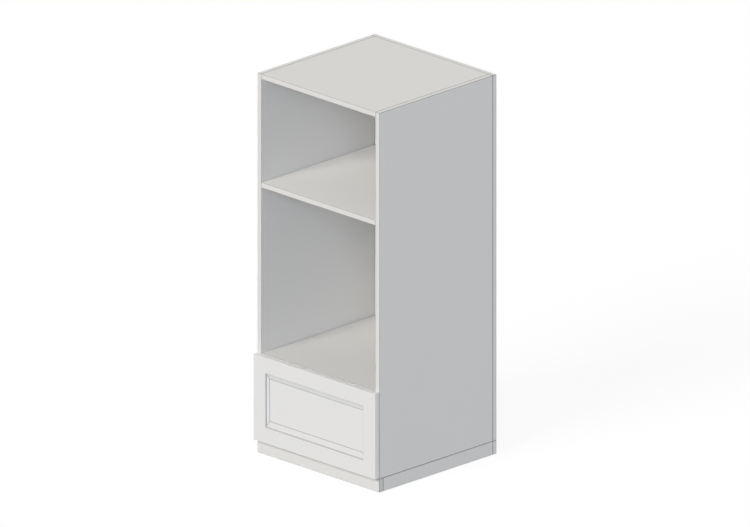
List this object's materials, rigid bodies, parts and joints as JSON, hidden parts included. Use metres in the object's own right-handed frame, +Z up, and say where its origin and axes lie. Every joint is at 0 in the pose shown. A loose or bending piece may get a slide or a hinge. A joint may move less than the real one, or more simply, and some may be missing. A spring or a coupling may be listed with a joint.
{
  "type": "microwave cabinet",
  "caption": "Tall housing cabinet with an open microwave bay over an open oven bay and one framed drawer on ball-bearing runners, on a plinth.",
  "frame": {"origin": "on the floor, at the centre of the outline of the closed cabinet", "axes": "+X to the right as seen by someone who stands before the drawer; the front looks along -Y; +Z up"},
  "size_m": [0.6, 0.597, 1.4],
  "materials": {
    "carcass_board": "warm white melamine face, satin",
    "edging": "warm white plastic edge band, satin",
    "front_paint": "routed fibreboard, neutral white satin lacquer",
    "drawer_board": "white melamine face, satin",
    "runner_steel": "bright zinc plate",
    "ball_steel": "polished",
    "retainer_steel": "bare cold-rolled strip",
    "fitting_zinc": "zinc die-cast",
    "screw_zinc": "yellow-white zinc plate",
    "beech": "bare wood",
    "lever_plastic": "fine moulded texture",
    "bumper_plastic": "soft translucent pad"
  },
  "bodies": {
    "cabinet": {"side_left": "carcass_board", "side_right": "carcass_board", "top_panel": "carcass_board", "middle_shelf": "carcass_board", "drawer_deck": "carcass_board", "bottom_panel": "carcass_board", "back_panel": "carcass_board", "plinth_front": "carcass_board", "plinth_back": "carcass_board", "plinth_left": "carcass_board", "plinth_right": "carcass_board", "plinth_stretcher": "carcass_board", "side_edging": "edging", "cross_edging": "edging", "panel_dowels": "beech", "plinth_blocks": "beech", "cam_discs": "fitting_zinc", "cam_bolts": "fitting_zinc", "back_screws": "screw_zinc", "block_screws": "screw_zinc", "cabinet_runner_screws": "screw_zinc", "runner_outer_left": "runner_steel", "runner_outer_right": "runner_steel"},
    "drawer": {"drawer_front": "front_paint", "box_side_left": "drawer_board", "box_side_right": "drawer_board", "box_front": "drawer_board", "box_back": "drawer_board", "box_bottom": "drawer_board", "box_dowels": "beech", "front_screws": "screw_zinc", "drawer_runner_screws": "screw_zinc", "bumper_pads": "bumper_plastic", "runner_inner_left": "runner_steel", "runner_inner_right": "runner_steel"},
    "middle_left": {"runner_middle_left": "runner_steel"},
    "middle_right": {"runner_middle_right": "runner_steel"},
    "outer_cage_left": {"outer_retainer_left": "retainer_steel", "outer_balls_left": "ball_steel"},
    "outer_cage_right": {"outer_retainer_right": "retainer_steel", "outer_balls_right": "ball_steel"},
    "inner_cage_left": {"inner_retainer_left": "retainer_steel", "inner_balls_left": "ball_steel"},
    "inner_cage_right": {"inner_retainer_right": "retainer_steel", "inner_balls_right": "ball_steel"},
    "lever_left": {"release_lever_left": "lever_plastic"},
    "lever_right": {"release_lever_right": "lever_plastic"}
  },
  "joints": [
    {"name": "drawer_slide", "type": "slide", "parent": "cabinet", "child": "drawer", "axis": [0, -1, 0], "range_m": [0, 0.48]},
    {"name": "middle_slide_left", "type": "slide", "parent": "cabinet", "child": "middle_left", "axis": [0, -1, 0], "range_m": [0, 0.2405]},
    {"name": "outer_cage_slide_left", "type": "slide", "parent": "cabinet", "child": "outer_cage_left", "axis": [0, -1, 0], "range_m": [0, 0.1205]},
    {"name": "inner_cage_slide_left", "type": "slide", "parent": "cabinet", "child": "inner_cage_left", "axis": [0, -1, 0], "range_m": [0, 0.3605]},
    {"name": "middle_slide_right", "type": "slide", "parent": "cabinet", "child": "middle_right", "axis": [0, -1, 0], "range_m": [0, 0.2405]},
    {"name": "outer_cage_slide_right", "type": "slide", "parent": "cabinet", "child": "outer_cage_right", "axis": [0, -1, 0], "range_m": [0, 0.1205]},
    {"name": "inner_cage_slide_right", "type": "slide", "parent": "cabinet", "child": "inner_cage_right", "axis": [0, -1, 0], "range_m": [0, 0.3605]},
    {"name": "release_left", "type": "hinge", "parent": "drawer", "child": "lever_left", "pos_m": [-0.2717, -0.1655, 0.149], "axis": [1, 0, 0], "range_deg": [0, 8], "stiffness_Nm_per_rad": 0.02, "springref_deg": -17.19},
    {"name": "release_right", "type": "hinge", "parent": "drawer", "child": "lever_right", "pos_m": [0.2717, -0.1655, 0.149], "axis": [1, 0, 0], "range_deg": [-8, 0], "stiffness_Nm_per_rad": 0.02, "springref_deg": 17.19}
  ],
  "couplings": [
    {"joint": "middle_slide_left", "follows": "drawer_slide", "ratio": 0.5},
    {"joint": "outer_cage_slide_left", "follows": "drawer_slide", "ratio": 0.25},
    {"joint": "inner_cage_slide_left", "follows": "drawer_slide", "ratio": 0.75},
    {"joint": "middle_slide_right", "follows": "drawer_slide", "ratio": 0.5},
    {"joint": "outer_cage_slide_right", "follows": "drawer_slide", "ratio": 0.25},
    {"joint": "inner_cage_slide_right", "follows": "drawer_slide", "ratio": 0.75}
  ]
}
